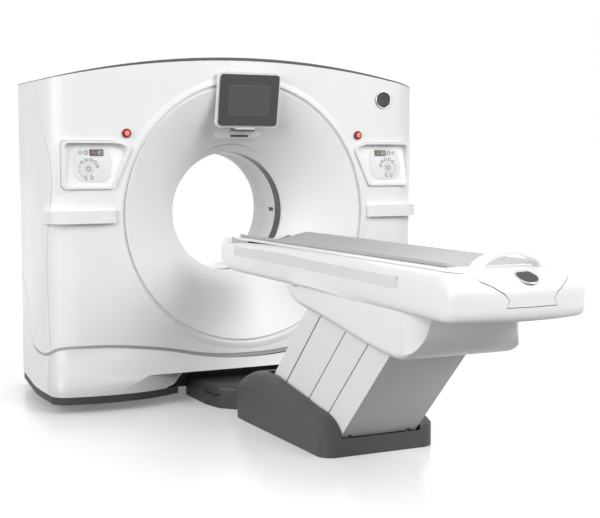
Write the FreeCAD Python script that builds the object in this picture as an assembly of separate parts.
import FreeCAD, Part
import math
import os

# Whole-body CT scanner: a ring gantry with a patient table on a slanted
# parallelogram leg.  Millimetres, +Z up.  The table lies toward -Y, the bore
# axis runs along Y.  While the parts are built, Y = 0 is the gantry's front
# face and X = 0 the bore's centre plane.  On export everything moves along Y,
# so that the origin is the centre of the footprint, on the floor.

Vector = FreeCAD.Vector
X_AXIS = Vector(1, 0, 0)
Y_AXIS = Vector(0, 1, 0)
Z_AXIS = Vector(0, 0, 1)

# ---------------------------------------------------------------- gantry sizes
bore_radius = 350.0
bore_height = 1057.0
half_width = 1166.0
side_taper = 70.0
back_half_width = half_width - side_taper
gantry_depth = 950.0
front_corner_radius = 180.0
rear_corner_radius = 130.0
roof_height = 1940.0
roof_corner_height = 1793.0
roof_thickness = 17.0
roof_edge_thickness = 3.0
cover_wall = 5.0
cover_gap = 3.0

dish_radius = 732.0
dish_depth = 282.0
ring_groove_width = 20.0
ring_groove_depth = 12.0
ring_bead_width = 34.0
ring_bead_height = 5.0

scan_window_width = 84.0
liner_wall = 3.0
rear_flare_start = 520.0
rear_flare_radius = 560.0

skirt_bottom = 50.0
skirt_top = 92.0
skirt_inset = 12.0
skirt_setback = 4.0
waist_height = 345.0
waist_dip_height = 241.0
waist_seam_height = 302.0
waist_groove = 16.0
waist_turn_y = 160.0
scoop_height = 180.0
scoop_half_width = 780.0
toe_bow = 112.0
toe_depth = 240.0
recess_half_width = 440.0
recess_back_y = 158.0
recess_top = 176.0

# ------------------------------------------------------- gantry front fittings
estop_x = 721.0
estop_z = 1508.0
estop_collar_radius = 25.0
estop_button_radius = 17.5
estop_travel = 5.0
estop_clearance = 0.5

tray_outer_x = 1082.0
tray_inner_low_x = 800.0
tray_inner_high_x = 718.0
tray_low_z = 1206.0
tray_high_z = 1468.0
tray_proud = 14.0
tray_rim = 14.0
tray_tilt_depth = 34.0
tray_body_depth = 40.0

handle_inner_x = 790.0
handle_low_z = 1020.0
handle_high_z = 1090.0
handle_proud = 30.0

display_width = 362.0
display_height = 290.0
display_thickness = 26.0
display_border = 11.0
display_centre_z = 1700.0
display_tilt = 9.8
display_front_y = -26.0

brow_half_width = 242.0
brow_rise = bore_radius + 46.0
brow_end_rise = bore_radius - 68.0
brow_end_round = 14.0
brow_gap = 2.5

badge_radius = 52.0
badge_x = 897.0
badge_z = 1722.0

# ------------------------------------------------------------ rotating assembly
scan_plane_y = dish_depth + 8.0 + scan_window_width / 2.0
frame_outer_radius = roof_height - bore_height - 53.0
drum_outer_radius = frame_outer_radius - 50.0
drum_inner_radius = bore_radius + 50.0
drum_front_y = 440.0
drum_thickness = 40.0
bearing_bore_radius = bore_radius + 100.0
bearing_split_radius = bore_radius + 170.0
bearing_outer_radius = bore_radius + 240.0
bearing_width = 80.0
bearing_gap = 0.5
frame_front_y = drum_front_y + drum_thickness + bearing_width
frame_thickness = 60.0

# ------------------------------------------------------------------ table sizes
table_top_z = 935.0
table_bottom_z = 757.0
table_head_y = -80.0
table_foot_y = -2662.0
table_head_half = 214.0
table_head_round = 40.0
table_mid_half = 262.0
table_mid_y = -1380.0
table_foot_half = 335.4
table_foot_round = 82.0
table_end_radius = 755.0
table_end_angle = 21.6
trough_half = 214.0
trough_floor_z = 800.0
trough_step_z = 895.0
channel_half = 176.0
housing_half = 288.0
housing_plan_round = 150.0
housing_edge_round = 36.0
shell_wall = 5.0
strip_head_y = -332.0
strip_foot_y = -2178.0
strip_low_z = 845.0
strip_high_z = 892.0
strip_depth = 2.5

cradle_half = 205.0
cradle_lip_z = 965.0
cradle_dip = 42.0
cradle_thickness = 22.0
cradle_lip_thickness = 14.0
side_rail_inner_x = 200.0
side_rail_outer_x = 232.0
cradle_head_y = -300.0
cradle_foot_y = -2380.0
cradle_clearance = 0.4
tongue_low_z = 815.0
rail_top_z = 811.0

# -------------------------------------------------------------- leg and linkage
lean_deg = 44.5
lower_pivot_z = 100.0
upper_pivot_z = 690.0
leg_half = 205.0
leg_layer = 4.0
leg_sheet = 3.0
leg_web = 4.0
leg_web_low_z = 84.0
leg_web_high_z = 716.0
leg_cheek_low_z = (76.0, 110.0, 150.0, 205.0)
leg_cheek_high_z = (742.0, 742.0, 672.0, 700.0)
leg_near_y = -1619.0
leg_web_gaps = (152.0, 241.0, 307.0)
leg_gantry_edge_y = -707.0
leg_overlap = 36.0
leg_reference_z = 200.0
pivot_inset = 22.0
pivot_rod_radius = 8.0
pivot_clearance = 0.08
open_pivot_clearance = 0.5
lug_radius = 14.0
stem_half = 9.0
lug_inner_x = leg_half - 55.0
lug_outer_x = leg_half - 37.0
carrier_outer_x = leg_half - 19.0
arm_inner_x = leg_half - 105.0
arm_outer_x = leg_half - 75.0
arm_near = 4.3
arm_far = 36.0

base_half = 305.0
base_near_y = -1533.0
base_far_y = -395.0
base_wall = 4.0
base_slot_half = leg_half + 7.0
base_slot_far_y = -722.0
base_slot_near_y = -1522.0
base_lip_z = 85.0
bridge_half = 326.0
bridge_height = 124.0

export_shift = Vector(0, -(gantry_depth + table_foot_y) / 2.0, 0)


# ------------------------------------------------------------------ small tools
def at_xy(x, y, z=0.0):
    """Place a flat point in a level plane at height z."""
    return Vector(x, y, z)


def at_xz(x, z, y=0.0):
    """Place a flat point in an upright plane that faces along Y."""
    return Vector(x, y, z)


def at_yz(y, z, x=0.0):
    """Place a flat point in an upright plane that faces along X."""
    return Vector(x, y, z)


def rounded_wire(corners, place, level=0.0):
    """Closed outline through (a, b, radius) corners, joined by tangent arcs."""
    count = len(corners)
    joints = []
    for index in range(count):
        before = corners[index - 1]
        here = corners[index]
        after = corners[(index + 1) % count]
        point = Vector(here[0], here[1], 0)
        radius = here[2]
        if radius <= 0:
            joints.append((point, None, point))
            continue
        back = Vector(before[0], before[1], 0).sub(point).normalize()
        ahead = Vector(after[0], after[1], 0).sub(point).normalize()
        half_angle = back.getAngle(ahead) / 2.0
        reach = radius / math.tan(half_angle)
        bisector = back.add(ahead).normalize()
        middle = point.add(bisector.multiply(radius / math.sin(half_angle) - radius))
        first = point.add(back.multiply(reach))
        last = point.add(ahead.multiply(reach))
        joints.append((first, middle, last))
    edges = []
    for index in range(count):
        first, middle, last = joints[index]
        if middle is not None:
            ends = [place(p.x, p.y, level) for p in (first, middle, last)]
            edges.append(Part.Arc(*ends).toShape())
        start_next = joints[(index + 1) % count][0]
        if last.distanceToPoint(start_next) > 1e-6:
            line = Part.LineSegment(place(last.x, last.y, level),
                                    place(start_next.x, start_next.y, level))
            edges.append(line.toShape())
    return Part.Wire(edges)


def prism(corners, place, start, end, direction):
    """Solid made by pushing a rounded outline from start to end."""
    face = Part.Face(rounded_wire(corners, place, start))
    return face.extrude(Vector(direction).multiply(end - start))


def box(x0, x1, y0, y1, z0, z1):
    """Upright block between two corners."""
    return Part.makeBox(x1 - x0, y1 - y0, z1 - z0, Vector(x0, y0, z0))


def rod_x(radius, x0, x1, y, z):
    """Round bar along X."""
    return Part.makeCylinder(radius, x1 - x0, Vector(x0, y, z), X_AXIS)


def rod_y(radius, y0, y1, x, z):
    """Round bar along Y."""
    return Part.makeCylinder(radius, y1 - y0, Vector(x, y0, z), Y_AXIS)


def bore_ring(inner, outer, y0, y1):
    """Flat ring about the bore axis."""
    ring = rod_y(outer, y0, y1, 0, bore_height)
    return ring.cut(rod_y(inner, y0 - 1, y1 + 1, 0, bore_height))


def turned_about_bore(segments):
    """Revolve a profile of (radius, y) points about the bore axis.

    A segment of two points is a line, a segment of three is an arc.
    """
    edges = []
    for points in segments:
        ends = [Vector(p[0], p[1], bore_height) for p in points]
        curve = Part.Arc(*ends) if len(ends) == 3 else Part.LineSegment(*ends)
        edges.append(curve.toShape())
    face = Part.Face(Part.Wire(edges))
    return face.revolve(Vector(0, 0, bore_height), Y_AXIS, 360)


def mirrored(shape):
    """Copy of a shape on the other side of the bore's centre plane."""
    return shape.mirror(Vector(0, 0, 0), X_AXIS)


def joined(shapes):
    """One solid from several that meet."""
    result = shapes[0]
    for shape in shapes[1:]:
        result = result.fuse(shape)
    return result.removeSplitter()


def soften(shape, radius, chosen):
    """Round the edges of a solid that the chosen test picks."""
    edges = [edge for edge in shape.Edges if chosen(edge)]
    return shape.makeFillet(radius, edges) if edges else shape


# ---------------------------------------------------------------- gantry covers
def gantry_plan(inset):
    """Corners of the gantry's outline seen from above."""
    half = half_width - inset
    back = back_half_width - inset
    front = front_corner_radius - inset
    rear = rear_corner_radius - inset
    waist_y = 330.0
    corners = [(-half, inset, front), (half, inset, front), (half, waist_y, 900.0)]
    corners += [(back, gantry_depth - inset, rear), (-back, gantry_depth - inset, rear)]
    corners.append((-half, waist_y, 900.0))
    return corners


def under_roof(crown_drop, corner_drop):
    """Everything below an arch that lies the given amounts under the roof's arch."""
    crown = roof_height - crown_drop
    drop = crown - roof_corner_height + corner_drop
    radius = (half_width ** 2 + drop ** 2) / (2 * drop)
    reach = half_width + 140
    corner = crown - radius + math.sqrt(radius ** 2 - reach ** 2)
    arc = Part.Arc(Vector(-reach, -400, corner), Vector(0, -400, crown),
                   Vector(reach, -400, corner)).toShape()
    points = [Vector(reach, -400, corner), Vector(reach, -400, -10)]
    points += [Vector(-reach, -400, -10), Vector(-reach, -400, corner)]
    edges = [arc]
    for index in range(3):
        edges.append(Part.LineSegment(points[index], points[index + 1]).toShape())
    return Part.Face(Part.Wire(edges)).extrude(Vector(0, gantry_depth + 800, 0))


def upper_shell():
    """Upright walls of the gantry's covers, before they are parted."""
    top = roof_height + 50.0
    outer = prism(gantry_plan(0), at_xy, skirt_top, top, Z_AXIS)
    inner = prism(gantry_plan(cover_wall), at_xy, skirt_top - 1, top + 1, Z_AXIS)
    return outer.cut(inner).common(under_roof(roof_thickness + 0.5, roof_edge_thickness + 0.5))


def seam_curtain():
    """Everything in front of the wavy seam between the front and side covers."""
    seam = [(160, 1990), (158, 1640), (70, 1370), (84, 1000), (88, 480), (66, 100), (60, 0)]
    curve = Part.BSplineCurve()
    curve.interpolate([at_yz(y, z, -half_width - 60) for y, z in seam])
    corner_points = [(60, 0), (-400, 0), (-400, 1990), (160, 1990)]
    edges = [curve.toShape()]
    for index in range(3):
        first = at_yz(*corner_points[index], -half_width - 60)
        second = at_yz(*corner_points[index + 1], -half_width - 60)
        edges.append(Part.LineSegment(first, second).toShape())
    return Part.Face(Part.Wire(edges)).extrude(Vector(2 * half_width + 120, 0, 0))


def waist_line(rise):
    """Points of the grey waist groove across the front, seen from the front."""
    half = [(0, waist_dip_height), (280, 259), (480, 298), (641, 321), (817, waist_height - 6)]
    half += [(half_width - 176, waist_height), (half_width - 87, waist_height - 3)]
    half += [(half_width - 41, 325), (half_width - 22, 309), (half_width - 9, waist_seam_height)]
    half.append((half_width + 40, waist_seam_height - 1))
    left = [(-x, z) for x, z in reversed(half[1:])]
    return [(x, z + rise) for x, z in left + half]


def above_waist(rise, front_y, back_y):
    """Everything above the waist groove's line, between two upright planes."""
    line = waist_line(rise)
    curve = Part.BSplineCurve()
    curve.interpolate([at_xz(x, z, front_y) for x, z in line])
    first = at_xz(line[0][0], line[0][1], front_y)
    last = at_xz(line[-1][0], line[-1][1], front_y)
    top_left = Vector(first.x, front_y, roof_height + 100)
    top_right = Vector(last.x, front_y, roof_height + 100)
    edges = [curve.toShape(), Part.LineSegment(last, top_right).toShape()]
    edges.append(Part.LineSegment(top_right, top_left).toShape())
    edges.append(Part.LineSegment(top_left, first).toShape())
    return Part.Face(Part.Wire(edges)).extrude(Vector(0, back_y - front_y, 0))


def above_side_waist(rise):
    """Everything above the groove's line along the sides, behind the front corners."""
    line = [(waist_turn_y, waist_seam_height), (191, waist_seam_height), (315, 310), (430, 352)]
    line += [(507, 442), (600, 560), (720, 650), (gantry_depth + 20, 760)]
    reach = half_width + 40.0
    points = [at_yz(y, z + rise, -reach) for y, z in line]
    curve = Part.BSplineCurve()
    curve.interpolate(points)
    top_back = Vector(-reach, points[-1].y, roof_height + 100)
    top_front = Vector(-reach, points[0].y, roof_height + 100)
    edges = [curve.toShape()]
    for first, second in ((points[-1], top_back), (top_back, top_front), (top_front, points[0])):
        edges.append(Part.LineSegment(first, second).toShape())
    return Part.Face(Part.Wire(edges)).extrude(Vector(2 * reach, 0, 0))


def above_groove(rise):
    """Everything above the groove's line on the front and on both sides."""
    return above_waist(rise, -300, waist_turn_y).fuse(above_side_waist(rise))


def tray_outline(grow):
    """Corners of the left control tray seen from the front."""
    corners = [(-tray_outer_x - grow, tray_low_z - grow, 24), (-tray_outer_x - grow, tray_high_z + grow, 24)]
    corners.append((-tray_inner_high_x - 60, tray_high_z + grow, 90))
    corners.append((-tray_inner_high_x + grow + 26, tray_high_z - 34, 30))
    corners.append((-tray_inner_low_x + grow, tray_low_z - grow, 24))
    return corners


def front_cover(shell):
    """Upper front cover with the big round opening and its raised bead."""
    cover = shell.common(seam_curtain())
    cover = cover.common(above_waist(waist_groove / 2, -300, gantry_depth))
    opening = dish_radius + ring_groove_width
    cover = cover.cut(rod_y(opening, -60, cover_wall + 60, 0, bore_height))
    edge_roll = bore_ring(opening, opening + 5, 1, ring_groove_depth - 0.3)
    cover = cover.fuse(edge_roll.common(above_waist(waist_groove / 2, -300, gantry_depth)))
    bead_end = opening + ring_bead_width
    bead = turned_about_bore([
        [(opening, 1), (opening, -ring_bead_height)],
        [(opening, -ring_bead_height), (opening + ring_bead_width * 0.6, -ring_bead_height * 0.7),
         (bead_end, 0.0)],
        [(bead_end, 0.0), (bead_end, 1)],
        [(bead_end, 1), (opening, 1)],
    ])
    cover = cover.fuse(bead.common(above_waist(waist_groove / 2, -300, gantry_depth)))
    holes = prism(tray_outline(cover_gap / 2), at_xz, -60, 60, Y_AXIS)
    collar_hole = rod_y(estop_collar_radius - 4, -60, 60, -estop_x, estop_z)
    for cutter in (holes, collar_hole):
        cover = cover.cut(cutter)
        cover = cover.cut(mirrored(cutter))
    return cover


def side_cover(shell, lower_walls, side):
    """Side cover from the wavy seam back to the rear cover, parted by the waist groove."""
    curtain = seam_curtain()
    curtain.translate(Vector(0, cover_gap, 0))
    rear_seam = gantry_depth - rear_corner_radius
    half_space = box(0, half_width + 50, -50, rear_seam, 0, roof_height + 50)
    upper = shell.common(half_space).cut(curtain).common(above_groove(waist_groove / 2))
    low_line = above_groove(-waist_groove / 2)
    behind = shell.common(box(0, half_width + 50, toe_depth, rear_seam, 0, roof_height)).cut(low_line)
    ahead = lower_walls.common(box(0, half_width + 50, -50, toe_depth, 0, 500)).cut(curtain).cut(low_line)
    cover = Part.makeCompound([upper, behind.fuse(ahead)])
    return cover if side > 0 else mirrored(cover)


def rear_cover(shell):
    """Rear cover, with a round opening for the rear flare."""
    rear_seam = gantry_depth - rear_corner_radius + cover_gap / 2
    walls = shell.common(box(-half_width, half_width, rear_seam, gantry_depth + 10, 0, roof_height))
    opening = rod_y(rear_flare_radius + 0.3, gantry_depth - 60, gantry_depth + 60, 0, bore_height)
    return walls.cut(opening)


def roof_cap():
    """Thin dark lid that follows the arch of the gantry, thickest over the middle."""
    plan = prism(gantry_plan(0), at_xy, 1500, roof_height + 50, Z_AXIS)
    return plan.common(under_roof(0, 0)).cut(under_roof(roof_thickness, roof_edge_thickness))


def toe_outline(bow, inset, scooped):
    """Front outline of the lower cover from the left side to the right, seen from above.

    With no bow it is the gantry's own plan.  With the full bow the corner is
    squarer and the front bulges forward.
    """
    share = bow / toe_bow
    corner = front_corner_radius
    shifts = [(0.0, -30.0), (8.7, -61.0), (43.7, -62.0), (73.0, -72.0), (74.0, -84.0)]
    half = [(half_width - inset, toe_depth + 10.0)]
    turn = 90.0 / (len(shifts) - 1)
    for step, (outward, forward) in enumerate(shifts):
        angle = math.radians(turn * step)
        across = math.cos(angle)
        ahead = math.sin(angle)
        x = half_width - corner * (1 - across) + outward * share - inset * across
        half.append((x, corner * (1 - ahead) + forward * share + inset * ahead))
    front = [(half_width - 239, -0.96 * bow), (half_width - 376, -bow)]
    front += [(684, -0.93 * bow), (500, -0.42 * bow), (407, -0.07 * bow)] if scooped else [(400, -1.04 * bow)]
    half += [(x, y + inset) for x, y in front]
    left = [(-x, y) for x, y in half]
    return left + [(0, inset if scooped else inset - 1.06 * bow)] + half[::-1]


def toe_wire(bow, inset, z, scooped=False):
    """Closed section of the lower cover at one height."""
    points = [Vector(x, y, z) for x, y in toe_outline(bow, inset, scooped)]
    curve = Part.BSplineCurve()
    curve.interpolate(points)
    back = toe_depth + 60.0
    corners = [points[-1], Vector(points[-1].x, back, z), Vector(points[0].x, back, z), points[0]]
    edges = [curve.toShape()]
    for index in range(3):
        edges.append(Part.LineSegment(corners[index], corners[index + 1]).toShape())
    return Part.Wire(edges)


def toe_solid(inset, drop):
    """Bulging body of the lower cover, grown inward by a wall."""
    levels = [(skirt_top - drop, 1.0), (scoop_height, 0.84), (250.0, 0.42), (310.0, 0.12)]
    levels += [(350.0, 0.03), (370.0 + drop, 0.02)]
    wires = [toe_wire(share * toe_bow, inset, z) for z, share in levels]
    solid = Part.makeLoft(wires, True, False)
    scoop_top = scoop_height + inset
    front = Part.Face(toe_wire(toe_bow, inset, skirt_top - drop - 5, True))
    keep = front.extrude(Vector(0, 0, scoop_top - skirt_top + drop + 5))
    slab = box(-scoop_half_width, scoop_half_width, -400, 300, skirt_top - drop - 5, scoop_top)
    return solid.cut(slab.cut(keep))


def toe_walls():
    """Walls of the bulging lower body, front and forward parts of the sides."""
    return toe_solid(0.0, 0.0).cut(toe_solid(cover_wall, 2.0))


def lower_front_cover(lower_walls):
    """Lower front cover, bulging at the toes and scooped out toward the middle."""
    cover = lower_walls.common(seam_curtain())
    cover = cover.cut(above_waist(-waist_groove / 2, -300, gantry_depth))
    gate = [(-recess_half_width - 90, 0, 0), (-recess_half_width - 90, skirt_top + 4, 30)]
    gate += [(-recess_half_width - 30, skirt_top + 14, 50), (-recess_half_width + 40, scoop_height - 8, 50)]
    gate += [(recess_half_width - 40, scoop_height - 8, 50), (recess_half_width + 30, skirt_top + 14, 50)]
    gate += [(recess_half_width + 90, skirt_top + 4, 30), (recess_half_width + 90, 0, 0)]
    return cover.cut(prism(gate, at_xz, -60, 400, Y_AXIS))


def waist_channel():
    """Grey channel that lies behind the waist groove, round the front and along the sides."""
    depth = 7.0
    band = above_groove(-waist_groove / 2 - 8).cut(above_groove(waist_groove / 2 + 8))
    outer = prism(gantry_plan(cover_wall + 0.3), at_xy, 100, 900, Z_AXIS)
    inner = prism(gantry_plan(cover_wall + 0.3 + depth), at_xy, 100, 900, Z_AXIS)
    seam = gantry_depth - rear_corner_radius - 10.0
    return outer.cut(inner).common(band).common(box(-half_width, half_width, -50, seam, 0, 1000))


def skirt_band():
    """Dark band along the lower edge of all the covers, with the recess for the bridge."""
    top = skirt_top - 0.5
    height = Vector(0, 0, top - skirt_bottom)
    outer_front = Part.Face(toe_wire(toe_bow, skirt_setback, skirt_bottom, True)).extrude(height)
    inner_wire = toe_wire(toe_bow, skirt_setback + skirt_inset, skirt_bottom, True)
    inner_front = Part.Face(inner_wire).extrude(height)
    outer = prism(gantry_plan(skirt_setback), at_xy, skirt_bottom, top, Z_AXIS)
    inner = prism(gantry_plan(skirt_setback + skirt_inset), at_xy, skirt_bottom, top, Z_AXIS)
    behind = box(-half_width, half_width, toe_depth, gantry_depth, 0, 200)
    front_half = box(-half_width, half_width, -300, toe_depth, 0, 200)
    walls = outer.cut(inner).common(behind)
    band = joined([walls, outer_front.cut(inner_front).common(front_half)])
    edge = recess_half_width
    band = band.cut(box(-edge, edge, -200, toe_depth, 0, 200))
    back = recess_back_y + 11.0
    returns = [box(edge, edge + skirt_inset, -14, back, skirt_bottom, top)]
    returns.append(box(edge, edge + skirt_inset, 24, back, top, recess_top))
    returns += [mirrored(piece) for piece in returns]
    return joined([band, box(-edge - 12, edge + 12, recess_back_y, back, skirt_bottom, recess_top)] + returns)


def dish():
    """Wide trumpet that leads from the front face into the bore."""
    wall = cover_wall
    outer = dish_radius
    flange = outer + ring_groove_width + 14.0
    lip = bore_radius
    return turned_about_bore([
        [(flange, ring_groove_depth), (outer, ring_groove_depth)],
        [(outer, ring_groove_depth), (outer, 4)],
        [(outer, 4), (outer - 1.2, 1.2), (outer - 4, 0)],
        [(outer - 4, 0), (545, 92), (lip + 14, dish_depth - 16)],
        [(lip + 14, dish_depth - 16), (lip + 4, dish_depth - 4), (lip, dish_depth + 8)],
        [(lip, dish_depth + 8), (lip + wall, dish_depth + 8)],
        [(lip + wall, dish_depth + 8), (545, 92 + wall * 1.3), (outer - 6, ring_groove_depth + wall)],
        [(outer - 6, ring_groove_depth + wall), (flange, ring_groove_depth + wall)],
        [(flange, ring_groove_depth + wall), (flange, ring_groove_depth)],
    ])


def rear_flare():
    """Trumpet at the back of the bore."""
    wall = cover_wall
    start = rear_flare_start + 0.5
    end = gantry_depth
    lip = bore_radius
    return turned_about_bore([
        [(lip, start), (lip + 34, start + 250), (rear_flare_radius, end)],
        [(rear_flare_radius, end), (rear_flare_radius, end - wall - 6)],
        [(rear_flare_radius, end - wall - 6), (lip + 34 + wall, start + 246), (lip + wall, start)],
        [(lip + wall, start), (lip, start)],
    ])


# ------------------------------------------------------- fittings on the gantry
def control_tray():
    """Left control tray: a proud rim round a floor that slopes back toward the top."""
    body = prism(tray_outline(0), at_xz, -tray_proud, tray_body_depth, Y_AXIS)
    floor_low = -tray_proud + 5.0
    floor_high = floor_low + tray_tilt_depth
    wedge = [(-60, tray_low_z + tray_rim), (floor_low, tray_low_z + tray_rim)]
    wedge += [(floor_high, tray_high_z - tray_rim), (-60, tray_high_z - tray_rim)]
    slope = prism([(y, z, 0) for y, z in wedge], at_yz, -tray_outer_x - 20, -tray_inner_high_x + 40, X_AXIS)
    pocket = prism(tray_outline(-tray_rim), at_xz, -100, 100, Y_AXIS)
    return body.cut(slope.common(pocket))


def tray_floor_y(z):
    """Y of the tray's sloping floor at height z."""
    share = (z - tray_low_z - tray_rim) / (tray_high_z - tray_low_z - 2 * tray_rim)
    return -tray_proud + 5.0 + tray_tilt_depth * share


def tray_plate(corners, thickness, lift):
    """Thin plate that lies on the left tray's sloping floor."""
    angle = math.degrees(math.atan2(tray_tilt_depth, tray_high_z - tray_low_z - 2 * tray_rim))
    middle_z = (tray_low_z + tray_high_z) / 2.0
    plate = prism(corners, at_xz, -thickness - lift, -lift, Y_AXIS)
    plate.rotate(Vector(0, 0, middle_z), X_AXIS, -angle)
    plate.translate(Vector(0, tray_floor_y(middle_z), 0))
    return plate


def keypad():
    """Left keypad pod with its round, slightly raised membrane keys."""
    pod = [(-1024, 1240, 60), (-1030, 1440, 40), (-800, 1440, 26), (-835, 1240, 40)]
    plate = tray_plate(pod, 3.0, 0.3)
    keys = []
    centre_x = -936.0
    centre_z = 1316.0
    ring = 50.0
    for angle in (150, 118, 86, 54, 22, 182, 214):
        keys.append((centre_x + ring * math.cos(math.radians(angle)),
                     centre_z + ring * math.sin(math.radians(angle)), 9.0))
    keys += [(-981, 1402, 10.0), (-950, 1402, 12.0), (centre_x, centre_z, 14.0)]
    keys += [(-950, 1264, 11.0), (-922, 1264, 11.0)]
    angle = math.degrees(math.atan2(tray_tilt_depth, tray_high_z - tray_low_z - 2 * tray_rim))
    middle_z = (tray_low_z + tray_high_z) / 2.0
    caps = [rod_y(radius, -5.0, -2.0, x, z) for x, z, radius in keys]
    group = Part.makeCompound(caps)
    group.rotate(Vector(0, 0, middle_z), X_AXIS, -angle)
    group.translate(Vector(0, tray_floor_y(middle_z), 0))
    return joined([plate] + group.Solids)


def readout():
    """Left dark window with the table's height and reach."""
    window = [(-926, 1384, 4), (-926, 1420, 4), (-848, 1420, 4), (-848, 1384, 4)]
    return tray_plate(window, 2.5, 3.6)


def rail_handle():
    """Left grip ledge that runs to the corner and turns round it."""
    corners = [(-handle_inner_x, 0, 0), (-handle_inner_x, -handle_proud + 8, 12)]
    corners += [(-handle_inner_x - 40, -handle_proud, 60), (-half_width + 4, -handle_proud, 120)]
    corners += [(-half_width + 4, 120, 0), (-half_width + 60, 120, 0)]
    ledge = prism(corners, at_xy, handle_low_z, handle_high_z, Z_AXIS)
    ledge = ledge.cut(prism(gantry_plan(-0.3), at_xy, 900, 1200, Z_AXIS))
    scoop = [(-handle_inner_x - 60, -handle_proud + 8, 6), (-half_width + 150, -handle_proud + 8, 6)]
    scoop += [(-half_width + 150, -2, 0), (-handle_inner_x - 60, -2, 0)]
    return ledge.cut(prism(scoop, at_xy, handle_low_z - 1, handle_low_z + 46, Z_AXIS))


def display_parts():
    """Tilted display: pale frame, dark bezel and the glass, with its neck."""
    w = display_width / 2.0
    h = display_height / 2.0
    b = display_border
    back = display_thickness
    frame = prism([(-w - b, -h - b, 26), (-w - b, h + b, 26), (w + b, h + b, 26), (w + b, -h - b, 26)],
                  at_xz, 4, back + 2, Y_AXIS)
    bezel = prism([(-w, -h, 18), (-w, h, 18), (w, h, 18), (w, -h, 18)], at_xz, -6, 3.7, Y_AXIS)
    glass_w = w - 48
    glass_h = h - 52
    pane = [(-glass_w, -glass_h, 4), (-glass_w, glass_h, 4), (glass_w, glass_h, 4), (glass_w, -glass_h, 4)]
    bezel = bezel.cut(prism(pane, at_xz, -8, -3.5, Y_AXIS))
    inner = [(a * 0.995, c * 0.995, r) for a, c, r in pane]
    glass = prism(inner, at_xz, -5.5, -3.2, Y_AXIS)
    glass = glass.cut(bezel)
    tab = box(-66, 52, 8, 34, -h - b - 12, -h - b + 4)
    placed = []
    for solid in (frame, bezel, glass, tab):
        solid.rotate(Vector(0, 0, 0), X_AXIS, display_tilt)
        solid.translate(Vector(0, display_front_y, display_centre_z))
        placed.append(solid)
    neck = prism([(10, 1600, 0), (10, 1760, 0), (150, 1760, 0), (150, 1600, 0)], at_yz, -70, 70, X_AXIS)
    neck = neck.cut(solid_behind_dish())
    frame = joined([placed[0], placed[3], neck.cut(placed[0])])
    return frame, placed[1], placed[2]


def solid_behind_dish():
    """Everything behind the dish's front surface, for parts that stand on it."""
    outer = dish_radius
    lip = bore_radius
    back = dish_depth + 200
    cone = turned_about_bore([
        [(outer - 4, -0.3), (545, 91.7), (lip + 14, dish_depth - 16.3)],
        [(lip + 14, dish_depth - 16.3), (lip + 14, back)],
        [(lip + 14, back), (outer + 200, back)],
        [(outer + 200, back), (outer + 200, -0.3)],
        [(outer + 200, -0.3), (outer - 4, -0.3)],
    ])
    return cone


def badge(x, y, z, radius):
    """Plain round badge with a raised rim and nothing on it."""
    disc = rod_y(radius, y - 4, y - 0.3, x, z)
    ring = rod_y(radius, y - 7, y - 4, x, z).cut(rod_y(radius - 6, y - 8, y - 3, x, z))
    return joined([disc, ring])


def brow_lens(grow):
    """Lens-shaped region with round ends over the top of the bore, seen from the front."""
    ends = brow_half_width + grow
    low = bore_height + brow_end_rise - grow
    arc = Part.Arc(Vector(-ends, -50, low), Vector(0, -50, bore_height + brow_rise + grow),
                   Vector(ends, -50, low)).toShape()
    chord = Part.LineSegment(Vector(ends, -50, low), Vector(-ends, -50, low)).toShape()
    lens = Part.Face(Part.Wire([arc, chord])).extrude(Vector(0, dish_depth + 100, 0))
    return soften(lens, brow_end_round + grow, lambda edge: edge.BoundBox.YLength > 300)


# ------------------------------------------------- structure inside the gantry
def gantry_frame():
    """Upright ring plate that carries the bearing, standing on two legs."""
    y0 = frame_front_y
    y1 = y0 + frame_thickness
    ring = rod_y(frame_outer_radius, y0, y1, 0, bore_height)
    legs = prism([(-880, 170, 0), (-700, 900, 0), (700, 900, 0), (880, 170, 0)], at_xz, y0, y1, Y_AXIS)
    plate = ring.fuse(legs)
    plate = plate.cut(rod_y(bearing_split_radius + 6, y0 - 1, y1 + 1, 0, bore_height))
    foot_rail = box(-900, 900, y0 - 260, y1 + 220, 140, 170)
    gussets = []
    for x in (-760, 740):
        outline = [(y1, 170, 0), (y1 + 200, 170, 0), (y1, 520, 0)]
        gussets.append(prism(outline, at_yz, x, x + 20, X_AXIS))
    return joined([plate, foot_rail] + gussets)


def floor_chassis():
    """Low steel chassis under the covers, with levelling feet."""
    tray = prism([(-980, 170, 40), (980, 170, 40), (980, 840, 40), (-980, 840, 40)],
                 at_xy, 60, 140, Z_AXIS)
    feet = []
    for x in (-860, 860):
        for y in (300, 760):
            feet.append(Part.makeCylinder(45, 60, Vector(x, y, 0), Z_AXIS))
    arms = []
    for y in (330, 700):
        arm = box(-half_width, half_width, y, y + 60, skirt_bottom + 14, 130)
        arms.append(arm.common(prism(gantry_plan(skirt_setback + skirt_inset + 0.3), at_xy, 0, 200, Z_AXIS)))
    return joined([tray] + feet + arms)


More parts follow.
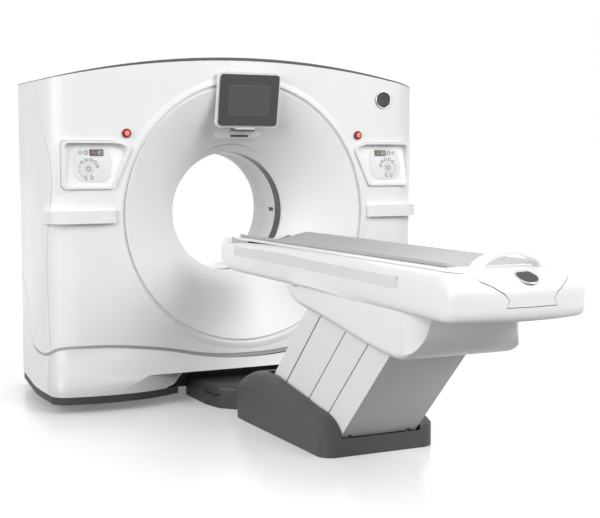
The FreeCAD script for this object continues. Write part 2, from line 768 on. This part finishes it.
def rotor_parts():
    """Drum and everything that turns with it, in name order."""
    y0 = drum_front_y
    drum = bore_ring(drum_inner_radius, drum_outer_radius, y0, y0 + drum_thickness)
    rim = bore_ring(drum_outer_radius - 20, drum_outer_radius, y0 - 120, y0)
    drum = joined([drum, rim])
    race_y = y0 + drum_thickness
    inner_race = bore_ring(bearing_bore_radius, bearing_split_radius - bearing_gap, race_y,
                           race_y + bearing_width)
    slip_start = race_y + bearing_width
    slip = bore_ring(bearing_bore_radius + 6, bearing_split_radius - 6, slip_start, slip_start + 52)
    for track in range(4):
        y = slip_start + 8 + 11 * track
        slip = slip.cut(bore_ring(bearing_split_radius - 9, bearing_split_radius, y, y + 4))
    tube_radius = 110.0
    orbit = (drum_inner_radius + drum_outer_radius) / 2.0 + 10.0
    tube = rod_y(tube_radius, 200, y0, 0, bore_height + orbit)
    horn = rod_y(46, 160, 200, 0, bore_height + orbit)
    tube = joined([tube, horn])
    port_low = bore_height + bore_radius + 70.0
    port_high = bore_height + orbit - tube_radius - 20.0
    port = box(-95, 95, scan_plane_y - 40, y0, port_low, port_high)
    slot = box(-70, 70, scan_plane_y - 14, scan_plane_y + 14, port_low - 10, port_high + 10)
    collimator = port.cut(slot)
    arc = bore_ring(bore_radius + 170, bore_radius + 260, scan_plane_y - 50, y0)
    wedge = prism([(0, bore_height, 0), (-460, bore_height - 760, 0), (460, bore_height - 760, 0)],
                  at_xz, 0, 600, Y_AXIS)
    detector = arc.common(wedge)
    near_x = drum_inner_radius + 70.0
    far_x = drum_outer_radius - 80.0
    low = bore_height - 157.0
    high = bore_height + 157.0
    tank = prism([(near_x, low, 20), (near_x, high, 20), (far_x, high, 20), (far_x, low, 20)],
                 at_xz, 250, y0, Y_AXIS)
    cooler = prism([(-far_x, low + 20, 20), (-far_x, high - 20, 20), (-near_x, high - 20, 20),
                    (-near_x, low + 20, 20)], at_xz, 270, y0, Y_AXIS)
    for fin in range(7):
        z = low + 50 + 36 * fin
        cooler = cooler.cut(box(-far_x - 10, -far_x + 50, 260, 400, z, z + 16))
    return {
        "rotor_drum": drum,
        "bearing_inner_race": inner_race,
        "slip_ring": slip,
        "xray_tube": tube,
        "beam_collimator": collimator,
        "detector_arc": detector,
        "high_voltage_tank": tank,
        "tube_cooler": cooler,
    }


def stator_parts():
    """Fixed race, drive ring and brush block."""
    race_end = frame_front_y
    outer_race = bore_ring(bearing_split_radius + bearing_gap, bearing_outer_radius,
                           race_end - bearing_width + 10, race_end)
    drive = bore_ring(bearing_outer_radius + 50, bearing_outer_radius + 110, race_end - 60, race_end)
    block_y = race_end + frame_thickness
    contact_z = bore_height + bearing_split_radius - 5
    block = box(-40, 40, race_end + 8, block_y + 0.3, contact_z, contact_z + 6)
    back = box(-60, 60, block_y + 0.3, block_y + 30, contact_z, contact_z + 120)
    return {
        "bearing_outer_race": outer_race,
        "drive_stator": drive,
        "brush_block": joined([block, back]),
    }


# --------------------------------------------------------------- table and leg
def table_outline(side_inset, foot_inset):
    """Corners of the table body seen from above: narrow at the head, wide at the round foot."""
    angle = math.radians(table_end_angle)
    end_radius = table_end_radius - side_inset
    end_y = table_foot_y + foot_inset - end_radius * (1 / math.cos(angle) - 1)
    foot_half = table_foot_half - side_inset
    head = (table_head_half - side_inset, table_head_y - side_inset, max(table_head_round - side_inset, 6.0))
    middle = (table_mid_half - side_inset, table_mid_y, 2500)
    foot = (foot_half, end_y + foot_half * math.tan(angle), table_foot_round - side_inset)
    right = [head, middle, foot]
    left = [(-x, y, r) for x, y, r in reversed(right)]
    return right + [(0, end_y, end_radius)] + left


def table_form(wall):
    """Smooth body of the table: rounded all round, sloping back over the foot."""
    top = table_top_z
    bottom = table_bottom_z
    levels = [(bottom, 16, 22), (bottom + 9, 6, 10), (bottom + 28, 0, 2), (bottom + 60, 0, 0)]
    levels += [(top - 85, 0, 0), (top - 50, 2, 6), (top - 25, 8, 24), (top - 10, 17, 48), (top, 32, 84)]
    middle = (top + bottom) / 2.0
    wires = []
    for z, side_inset, foot_inset in levels:
        height = z + wall if z < middle else z - wall
        wires.append(rounded_wire(table_outline(side_inset + wall, foot_inset + wall), at_xy, height))
    return Part.makeLoft(wires, True, False)


def table_blank():
    """Outside form of the table body, with its undercut nose."""
    profile = [(-66, 915), (-76, 895), (-92, 848), (-145, 794), (-227, 768), (-330, table_bottom_z)]
    profile.append((-430, table_bottom_z - 4))
    curve = Part.BSplineCurve()
    curve.interpolate([at_yz(y, z) for y, z in profile])
    corners = [at_yz(*profile[-1]), at_yz(-430, 700), at_yz(-40, 700), at_yz(-40, 915), at_yz(*profile[0])]
    edges = [curve.toShape()]
    for index in range(4):
        edges.append(Part.LineSegment(corners[index], corners[index + 1]).toShape())
    cutter = Part.Face(Part.Wire(edges)).extrude(Vector(800, 0, 0))
    cutter.translate(Vector(-400, 0, 0))
    return table_form(0.0).cut(cutter)


def end_cap_section(grow, y0, y1):
    """Cross-section of the cradle's end cap, pushed along the table.

    It is narrow enough everywhere to slide along inside the trough.
    """
    right = [(116 + grow, tongue_low_z - grow, 0), (103 + grow, 840, 8), (121 + grow, 866 - grow, 12)]
    right += [(170 + grow, trough_step_z + 3 - grow, 20), (206 + grow, 915 - grow, 12)]
    right += [(trough_half - 3 + grow, table_top_z + 2, 0), (246 + grow, table_top_z + 2, 0)]
    right.append((246 + grow, 1100, 0))
    left = [(-x, z, r) for x, z, r in reversed(right)]
    return prism(right + left, at_xz, y0, y1, Y_AXIS)


def cradle_section(drop, half, y0, y1):
    """Everything above the board's rounded underside, lowered by a gap."""
    low = cradle_lip_z - cradle_lip_thickness - drop
    middle = cradle_lip_z - cradle_dip - cradle_thickness - drop
    arc = Part.Arc(Vector(-half, y0, low), Vector(0, y0, middle), Vector(half, y0, low)).toShape()
    corners = [Vector(half, y0, low), Vector(half, y0, 1100), Vector(-half, y0, 1100), Vector(-half, y0, low)]
    edges = [arc]
    for index in range(3):
        edges.append(Part.LineSegment(corners[index], corners[index + 1]).toShape())
    return Part.Face(Part.Wire(edges)).extrude(Vector(0, y1 - y0, 0))


def table_shell(blank):
    """White outer shell of the table: open trough on top, open toward the leg below."""
    inner = table_form(shell_wall)
    channel_wall = box(-channel_half - 4, channel_half + 4, -2560, table_head_y - 40,
                       trough_floor_z - 4, trough_step_z)
    step_wall = box(-trough_half - 4, trough_half + 4, -2560, table_head_y - 40,
                    trough_step_z - 4, table_top_z)
    inner = inner.cut(channel_wall).cut(step_wall)
    inner = inner.cut(box(-400, 400, -345, -60, 700, 860)).cut(box(-400, 400, -150, -40, 700, 920))
    shell = blank.cut(inner)
    shell = shell.cut(box(-channel_half, channel_half, -2600, table_head_y - 44, trough_floor_z, 1000))
    shell = shell.cut(box(-trough_half, trough_half, -2572, table_head_y - 44, trough_step_z, 1000))
    shell = shell.cut(end_cap_section(cover_gap, -2700, -2500))
    shell = shell.cut(cradle_section(2.0, cradle_half, table_head_y - 60, table_head_y + 20))
    hatch = box(-trough_half, trough_half, -2120, -1120, table_bottom_z - 1, trough_floor_z - 4)
    shell = shell.cut(hatch)
    for side in (-1, 1):
        middle = side * (leg_half - 8)
        shell = shell.cut(box(middle - 17, middle + 17, -1130, -1028, table_bottom_z - 1, trough_floor_z - 4))
    for side in (-1, 1):
        outline = [(strip_head_y, strip_low_z, 8), (strip_head_y, strip_high_z, 8)]
        outline += [(strip_foot_y, strip_high_z + 5, 20), (strip_foot_y, strip_low_z + 2, 20)]
        slab = prism(outline, at_yz, 0, 500 * side, X_AXIS)
        inner_plan = table_form(strip_depth)
        shell = shell.cut(slab.cut(inner_plan))
    return shell


def under_housing():
    """Boat-shaped housing under the table body that hides the top of the leg."""
    def profile(inset):
        top = table_bottom_z - 0.3
        points = [(-1075 - inset, top), (-1104 - inset, 724 + inset), (-1311, 661 + inset)]
        points += [(-1664, 606 + inset), (-1950, 562 + inset), (-2110, 548 + inset)]
        curve = Part.BSplineCurve()
        curve.interpolate([at_yz(y, z) for y, z in points])
        near = Part.Arc(at_yz(-2110, 548 + inset), at_yz(-2222 + inset, 588 + inset),
                        at_yz(-2268 + inset, 690)).toShape()
        rise = Part.LineSegment(at_yz(-2268 + inset, 690), at_yz(-2280 + inset, top)).toShape()
        lid = Part.LineSegment(at_yz(-2280 + inset, top), at_yz(-1075 - inset, top)).toShape()
        return Part.Face(Part.Wire([curve.toShape(), near, rise, lid]))

    half = housing_half
    wall = shell_wall
    outer = profile(0).extrude(Vector(2 * half, 0, 0))
    outer.translate(Vector(-half, 0, 0))

    def side_edge(edge):
        box_of = edge.BoundBox
        flat = box_of.XLength < 0.1
        return flat and box_of.ZMin < table_bottom_z - 8 and box_of.ZLength < 250 and box_of.YLength > 5

    outer = soften(outer, housing_edge_round, side_edge)
    plan = [(-half, -2290, housing_plan_round), (half, -2290, housing_plan_round)]
    plan += [(half, -1000, 0), (-half, -1000, 0)]
    outer = outer.common(prism(plan, at_xy, 400, table_bottom_z + 1, Z_AXIS))
    inner = profile(wall).extrude(Vector(2 * (half - 30), 0, 0))
    inner.translate(Vector(-half + 30, 0, 0))
    housing = outer.cut(inner)
    mouth = box(-leg_half - 18, leg_half + 18, -2060, -1068, 400, table_bottom_z + 1)
    return housing.cut(mouth)


def leg_direction():
    """Unit vector up along the leaning leg."""
    lean = math.radians(lean_deg)
    return Vector(0, -math.sin(lean), math.cos(lean))


def leg_normal():
    """Unit vector square to the leg, toward the gantry."""
    lean = math.radians(lean_deg)
    return Vector(0, math.cos(lean), math.sin(lean))


def web_lines():
    """Y of each cover's near face at the reference height, near one first."""
    lines = [leg_near_y]
    for gap in leg_web_gaps:
        lines.append(lines[-1] + gap)
    return lines


def pivot(web_y, height):
    """Centre of a slat's pivot at the given height."""
    along = leg_direction()
    face = Vector(0, web_y, leg_reference_z)
    inside = face.add(leg_normal().multiply(pivot_inset))
    steps = (height - inside.z) / along.z
    return inside.add(along.multiply(steps))


def slat(index):
    """One U-shaped cover of the telescoping leg: 0 is the near, outermost one."""
    lines = web_lines()
    web_y = lines[index]
    if index + 1 < len(lines):
        width = (lines[index + 1] - web_y) * math.cos(math.radians(lean_deg)) + 1.0
    else:
        width = (leg_gantry_edge_y - web_y) * math.cos(math.radians(lean_deg))
    outer_x = leg_half - leg_layer * index
    inner_x = outer_x - leg_sheet
    along = leg_direction()
    square = leg_normal()
    face = Vector(0, web_y, leg_reference_z)

    def slanted(b0, b1, low, high):
        """Slanted block between two faces along the leg, cut level at both ends."""
        points = []
        for b, z in ((b0, low), (b0, high), (b1, high), (b1, low)):
            start = face.add(Vector(square).multiply(b))
            points.append(start.add(Vector(along).multiply((z - start.z) / along.z)))
        wire = Part.makePolygon(points + [points[0]])
        return Part.Face(wire)

    overlap = leg_overlap if index + 1 < len(lines) else 0.0
    cheek_face = slanted(0, width + overlap, leg_cheek_low_z[index], leg_cheek_high_z[index])
    cheek = cheek_face.extrude(Vector(leg_sheet, 0, 0))
    cheek.translate(Vector(inner_x, 0, 0))
    web_face = slanted(0, leg_web, leg_web_low_z, leg_web_high_z)
    web = web_face.extrude(Vector(2 * outer_x, 0, 0))
    web.translate(Vector(-outer_x, 0, 0))
    foot = pivot(web_y, lower_pivot_z)
    notch = box(lug_inner_x - 4, lug_outer_x + 4, foot.y - 60, foot.y + 30, 40, foot.z + lug_radius - 18)
    web = web.cut(notch).cut(mirrored(notch))
    return joined([cheek, mirrored(cheek), web])


def slat_rods(index, length_half):
    """Lower and upper pivot rods of one slat."""
    web_y = web_lines()[index]
    rods = []
    for height in (lower_pivot_z, upper_pivot_z):
        centre = pivot(web_y, height)
        rods.append(rod_x(pivot_rod_radius, -length_half, length_half, centre.y, centre.z))
    return rods


def rod_carriers(index):
    """Bosses that hold a slat's pivot rods off its web."""
    bosses = []
    for height in (lower_pivot_z, upper_pivot_z):
        centre = pivot(web_lines()[index], height)
        points = []
        for b, a in ((2.0 - pivot_inset, -4), (2.0 - pivot_inset, 12), (5, 9), (5, -4)):
            point = centre.add(leg_normal().multiply(b))
            points.append(point.add(leg_direction().multiply(a)))
        boss = Part.Face(Part.makePolygon(points + [points[0]]))
        boss = boss.extrude(Vector(carrier_outer_x - lug_outer_x - 4, 0, 0))
        boss.translate(Vector(lug_outer_x + 4, 0, 0))
        bosses += [boss, mirrored(boss)]
    return bosses


def link_arms(index):
    """Two load-bearing arms with their pivot rods, inside one slat."""
    web_y = web_lines()[index]
    along = leg_direction()
    square = leg_normal()
    low = pivot(web_y, lower_pivot_z)
    high = pivot(web_y, upper_pivot_z)
    length = high.sub(low).Length
    points = []
    for b, a in ((arm_near, -12.0), (arm_near, length + 12.0), (arm_far, length + 12.0), (arm_far, -12.0)):
        start = low.add(Vector(square).multiply(b - pivot_inset))
        points.append(start.add(Vector(along).multiply(a)))
    profile = Part.Face(Part.makePolygon(points + [points[0]]))
    arm = profile.extrude(Vector(arm_outer_x - arm_inner_x, 0, 0))
    arm.translate(Vector(arm_inner_x, 0, 0))
    inner_x = leg_half - leg_layer * index - leg_sheet
    return joined([arm, mirrored(arm)] + slat_rods(index, inner_x - 0.3))


def leg_lugs(height, plate_z, clearances):
    """Ears that hold the slats' rods, reaching from the rods to a plate."""
    ears = []
    for web_y, clearance in zip(web_lines(), clearances):
        centre = pivot(web_y, height)
        ring = rod_x(lug_radius, lug_inner_x, lug_outer_x, centre.y, centre.z)
        z0 = min(plate_z, centre.z)
        z1 = max(plate_z, centre.z)
        stem = box(lug_inner_x, lug_outer_x, centre.y - stem_half, centre.y + stem_half, z0, z1)
        ear = ring.fuse(stem)
        hole = rod_x(pivot_rod_radius + clearance, lug_inner_x - 1, lug_outer_x + 1,
                     centre.y, centre.z)
        ear = ear.cut(hole)
        ears += [ear, mirrored(ear)]
    return ears


def table_frame():
    """Steel frame inside the table body with the upper ears and the cradle's rails."""
    plate = box(-172, 172, -2110, -1130, 744, 756)
    deck = box(-170, 170, -2440, -352, 780, 795.5)
    posts = []
    for y in (-2080, -1190):
        posts.append(box(-150, -120, y - 20, y + 20, 756, 780))
        posts.append(box(120, 150, y - 20, y + 20, 756, 780))
    clearances = [pivot_clearance] + 3 * [open_pivot_clearance]
    return joined([plate, deck] + posts + leg_lugs(upper_pivot_z, 744, clearances))


def base_section(y, half, side_z, top_half, top_z, inset):
    """Cross-section of the base cover at one place along the table."""
    w = half - inset
    t = top_half - inset * 0.4
    s = side_z - inset * 0.6
    h = top_z - inset
    middle = Vector((w + t) / 2 + (w - t) * 0.16, y, (s + h) / 2 + (h - s) * 0.16)
    left = [Vector(-w, y, 0), Vector(-w, y, s), Vector(-t, y, h)]
    edges = [Part.LineSegment(left[0], left[1]).toShape()]
    edges.append(Part.Arc(left[1], Vector(-middle.x, y, middle.z), left[2]).toShape())
    edges.append(Part.LineSegment(left[2], Vector(t, y, h)).toShape())
    edges.append(Part.Arc(Vector(t, y, h), middle, Vector(w, y, s)).toShape())
    edges.append(Part.LineSegment(Vector(w, y, s), Vector(w, y, 0)).toShape())
    edges.append(Part.LineSegment(Vector(w, y, 0), left[0]).toShape())
    return Part.Wire(edges)


def base_form(inset):
    """Low dome over the foot of the leg, high toward the gantry and rounded down at the near end."""
    stations = [(-380, 215, 60, 140, 80), (-470, 285, 120, 190, 188), (-560, 302, 165, 214, 236)]
    stations += [(-760, base_half, 192, 218, 272), (-960, base_half, 178, 218, 248)]
    stations += [(-1180, base_half, 152, 218, 214), (-1340, base_half, 130, 218, 189)]
    stations += [(-1450, base_half, 114, 218, 167), (-1510, base_half, 92, 218, 130)]
    stations.append((-1550, base_half, 66, 218, 88))
    wires = [base_section(y, half, side, top_half, top, inset) for y, half, side, top_half, top in stations]
    loft = Part.makeLoft(wires, True, False)
    near = base_near_y + inset
    far = base_far_y - inset
    half = base_half - inset
    plan = [(-half, near, 70 - inset), (half, near, 70 - inset), (half, far, 190 - inset)]
    plan.append((-half, far, 190 - inset))
    return loft.common(prism(plan, at_xy, 0, 400, Z_AXIS))


def base_cover():
    """Dark shell of the table base with the slot that the leg comes out of."""
    shell = base_form(0).cut(base_form(base_wall))
    slot = [(-base_slot_half, base_slot_near_y, 8), (base_slot_half, base_slot_near_y, 8)]
    slot += [(base_slot_half, base_slot_far_y, 20), (-base_slot_half, base_slot_far_y, 20)]
    shell = shell.cut(prism(slot, at_xy, 20, 400, Z_AXIS))
    lip = box(-base_slot_half, base_slot_half, base_near_y - 20, base_slot_near_y + 30, base_lip_z, 400)
    return shell.cut(lip)


def base_frame():
    """Floor plate with the lower ears of the linkage."""
    half = base_half - base_wall - 0.8
    near = base_near_y + base_wall + 0.5
    plan = [(-half, near, 66), (half, near, 66), (half, -620, 10), (-half, -620, 10)]
    plate = prism(plan, at_xy, 0, 16, Z_AXIS)
    return joined([plate] + leg_lugs(lower_pivot_z, 16, 4 * [pivot_clearance]))


def cable_bridge():
    """Low dark duct between the gantry and the table base."""
    wide = bridge_half
    end = recess_back_y - 0.5
    corners = [(-190, base_far_y + 0.3, 40), (26 - wide, -280, 60), (-wide, -150, 80), (-wide, end, 0)]
    corners += [(wide, end, 0), (wide, -150, 80), (wide - 26, -280, 60), (190, base_far_y + 0.3, 40)]
    duct = prism(corners, at_xy, 0, bridge_height, Z_AXIS)

    def top_edge(edge):
        box_of = edge.BoundBox
        return box_of.ZMin > bridge_height - 0.1 and box_of.YMin < end - 18

    duct = soften(duct, 22.0, top_edge)
    for y in (-170, -280):
        slit = box(-wide - 14, 36 - wide, y - 45, y + 45, 70, 76)
        duct = duct.cut(slit)
        duct = duct.cut(mirrored(slit))
    return duct


def cradle_board():
    """Long concave board on which the patient lies."""
    lip = cradle_lip_z
    half = cradle_half
    upper = Part.Arc(Vector(-half, 0, lip), Vector(0, 0, lip - cradle_dip), Vector(half, 0, lip)).toShape()
    lower_z = lip - cradle_lip_thickness
    lower = Part.Arc(Vector(half, 0, lower_z), Vector(0, 0, lip - cradle_dip - cradle_thickness),
                     Vector(-half, 0, lower_z)).toShape()
    right = Part.LineSegment(Vector(half, 0, lip), Vector(half, 0, lower_z)).toShape()
    left = Part.LineSegment(Vector(-half, 0, lower_z), Vector(-half, 0, lip)).toShape()
    board = Part.Face(Part.Wire([upper, right, lower, left]))
    board = board.extrude(Vector(0, cradle_foot_y - cradle_head_y, 0))
    board.translate(Vector(0, cradle_head_y, 0))
    plan = [(-half, cradle_foot_y - 5, 0), (half, cradle_foot_y - 5, 0), (half, cradle_head_y, 80)]
    plan.append((-half, cradle_head_y, 80))
    return board.common(prism(plan, at_xy, 800, 1000, Z_AXIS))


def cradle_end_cap(blank):
    """Foot end of the cradle: a tongue over the table's end with an arched grip."""
    tongue = blank.common(end_cap_section(0, -2700, cradle_foot_y - 60))
    plan = [(-246, cradle_foot_y - 0.3, 0), (-236, -2470, 60), (-130, -2585, 90)]
    plan += [(130, -2585, 90), (236, -2470, 60), (246, cradle_foot_y - 0.3, 0)]
    top_plate = prism(plan, at_xy, table_top_z - 12, table_top_z + 14, Z_AXIS)
    top_plate = top_plate.common(end_cap_section(0, -2700, cradle_foot_y))
    arch_low = table_top_z + 6
    outer_face = Part.Face(Part.Wire([Part.Ellipse(Vector(0, 0, 0), 166, 74).toShape()]))
    inner_face = Part.Face(Part.Wire([Part.Ellipse(Vector(0, 0, 0), 142, 60).toShape()]))
    ring = outer_face.cut(inner_face)
    ring.rotate(Vector(0, 0, 0), X_AXIS, 90)
    band = ring.extrude(Vector(0, 62, 0))
    band.translate(Vector(0, -2530, arch_low))
    band = band.cut(box(-400, 400, -2700, -2300, 600, arch_low - 2))
    return joined([tongue, top_plate, band])


def cradle_carriage():
    """Carriage under the board that runs on the rails, with the long side rails of the board."""
    block = box(-132, 132, -2370, -2130, rail_top_z + 0.3, rail_top_z + 46)
    block = block.cut(box(-40, 40, -2380, -2120, rail_top_z, rail_top_z + 12))
    post = box(-128, 128, -2340, -2160, rail_top_z + 46, table_top_z + 40)
    yoke = box(-trough_half + 5, trough_half - 5, -2340, -2160, trough_step_z + 3, table_top_z + 13)
    pieces = [block, post, yoke]
    rail = box(side_rail_inner_x, side_rail_outer_x, cradle_foot_y, cradle_head_y - 60,
               table_top_z + 1.5, table_top_z + 13)
    pieces += [rail, mirrored(rail)]
    return joined(pieces).cut(cradle_section(0.3, cradle_half, -2400, -100))


def cradle_rails():
    """Two low rails on the trough floor, and the saddle that carries the board at the head."""
    rails = [box(side * 118 - 12, side * 118 + 12, -2440, -440, trough_floor_z + 0.2, rail_top_z)
             for side in (-1, 1)]
    saddle = box(-channel_half + 3, channel_half - 3, -400, -170, trough_floor_z + 0.2, 1000)
    saddle = saddle.cut(cradle_section(cradle_clearance, cradle_half, -450, -100))
    tunnel = box(-120, 120, -410, -160, trough_floor_z, 880)
    return Part.makeCompound(rails + [saddle.cut(tunnel)])


def cradle_drive():
    """Motor in the under-housing and the belt that pulls the carriage."""
    motor = rod_x(36, -90, 90, -2182, 690)
    bracket = box(-60, 60, -2212, -2152, 690, table_bottom_z - 0.3)
    belt = box(-14, 14, -2430, -440, trough_floor_z + 0.2, trough_floor_z + 4)
    return Part.makeCompound([joined([motor, bracket]), belt])


def lift_gearmotor():
    """Gearmotor on the front link's lower shaft, bolted to the base frame."""
    shaft = pivot(leg_near_y, lower_pivot_z)
    collar = rod_x(15, -40, 40, shaft.y, shaft.z)
    gearbox = box(-40, 40, shaft.y + 4, shaft.y + 92, 16.3, 86)
    motor = rod_x(30, 30, 94, shaft.y + 56, 52)
    hole = rod_x(pivot_rod_radius + pivot_clearance, -60, 110, shaft.y, shaft.z)
    return joined([collar, gearbox, motor]).cut(hole)


# ------------------------------------------------------------------ put together
def build_parts():
    """Every piece under its node name."""
    shell = upper_shell()
    lower_walls = toe_walls()
    blank = table_blank()
    trumpet = dish()
    parts = {
        "front_cover": front_cover(shell),
        "side_cover_right": side_cover(shell, lower_walls, 1),
        "side_cover_left": side_cover(shell, lower_walls, -1),
        "rear_cover": rear_cover(shell),
        "roof_cap": roof_cap(),
        "lower_front_cover": lower_front_cover(lower_walls),
        "waist_channel": waist_channel(),
        "skirt_band": skirt_band(),
        "dish": trumpet.cut(brow_lens(brow_gap)),
        "brow_panel": trumpet.common(brow_lens(0)),
        "scan_window": bore_ring(bore_radius, bore_radius + liner_wall, dish_depth + 8.3,
                                 dish_depth + 8 + scan_window_width),
        "bore_liner": bore_ring(bore_radius, bore_radius + liner_wall,
                                dish_depth + 8.3 + scan_window_width, rear_flare_start + 0.2),
        "rear_flare": rear_flare(),
        "floor_chassis": floor_chassis(),
        "gantry_frame": gantry_frame(),
        "gantry_badge": badge(badge_x, 0, badge_z, badge_radius),
        "cable_bridge": cable_bridge(),
    }
    parts.update(stator_parts())
    parts.update(rotor_parts())
    frame, bezel, glass = display_parts()
    parts["display_housing"] = frame
    parts["display_bezel"] = bezel
    parts["display_glass"] = glass

    collar = rod_y(estop_collar_radius, -9, -0.3, -estop_x, estop_z)
    collar = joined([collar, rod_y(estop_collar_radius - 5, -0.3, 16, -estop_x, estop_z)])
    bore = rod_y(estop_button_radius + estop_clearance, -20, 10, -estop_x, estop_z)
    collar = collar.cut(bore)
    button = rod_y(estop_button_radius, -17, 10 - estop_travel - 1, -estop_x, estop_z)
    fittings = {
        "estop_collar": collar,
        "estop_button": button,
        "control_tray": control_tray(),
        "keypad": keypad(),
        "readout": readout(),
        "rail_handle": rail_handle(),
    }
    for side, name in ((1, "left"), (-1, "right")):
        for node, solid in fittings.items():
            parts[node + "_" + name] = solid.copy() if side > 0 else mirrored(solid)

    parts["table_shell"] = table_shell(blank)
    parts["under_housing"] = under_housing()
    parts["table_frame"] = table_frame()
    parts["cradle_rails"] = cradle_rails()
    parts["cradle_board"] = cradle_board()
    parts["cradle_end_cap"] = cradle_end_cap(blank)
    parts["cradle_carriage"] = cradle_carriage()
    for index, name in enumerate(("leg_cover_near", "leg_cover_second", "leg_cover_third", "leg_cover_far")):
        solid = slat(index)
        if index in (1, 3):
            solid = joined([solid] + slat_rods(index, carrier_outer_x + 1) + rod_carriers(index))
        parts[name] = solid
    parts["front_link"] = link_arms(0)
    parts["rear_link"] = link_arms(2)
    parts["base_cover"] = base_cover()
    parts["base_frame"] = base_frame()
    parts["lift_gearmotor"] = lift_gearmotor()
    parts["cradle_drive"] = cradle_drive()
    return parts


def main():
    os.makedirs("parts", exist_ok=True)
    parts = build_parts()
    for name, shape in parts.items():
        placed = shape.copy()
        placed.translate(export_shift)
        placed.exportStep("parts/" + name + ".step")
    for web_y in web_lines():
        low = pivot(web_y, lower_pivot_z).add(export_shift)
        high = pivot(web_y, upper_pivot_z).add(export_shift)
        print("slat pivots", round(low.y, 3), round(low.z, 3), round(high.y, 3), round(high.z, 3))


main()
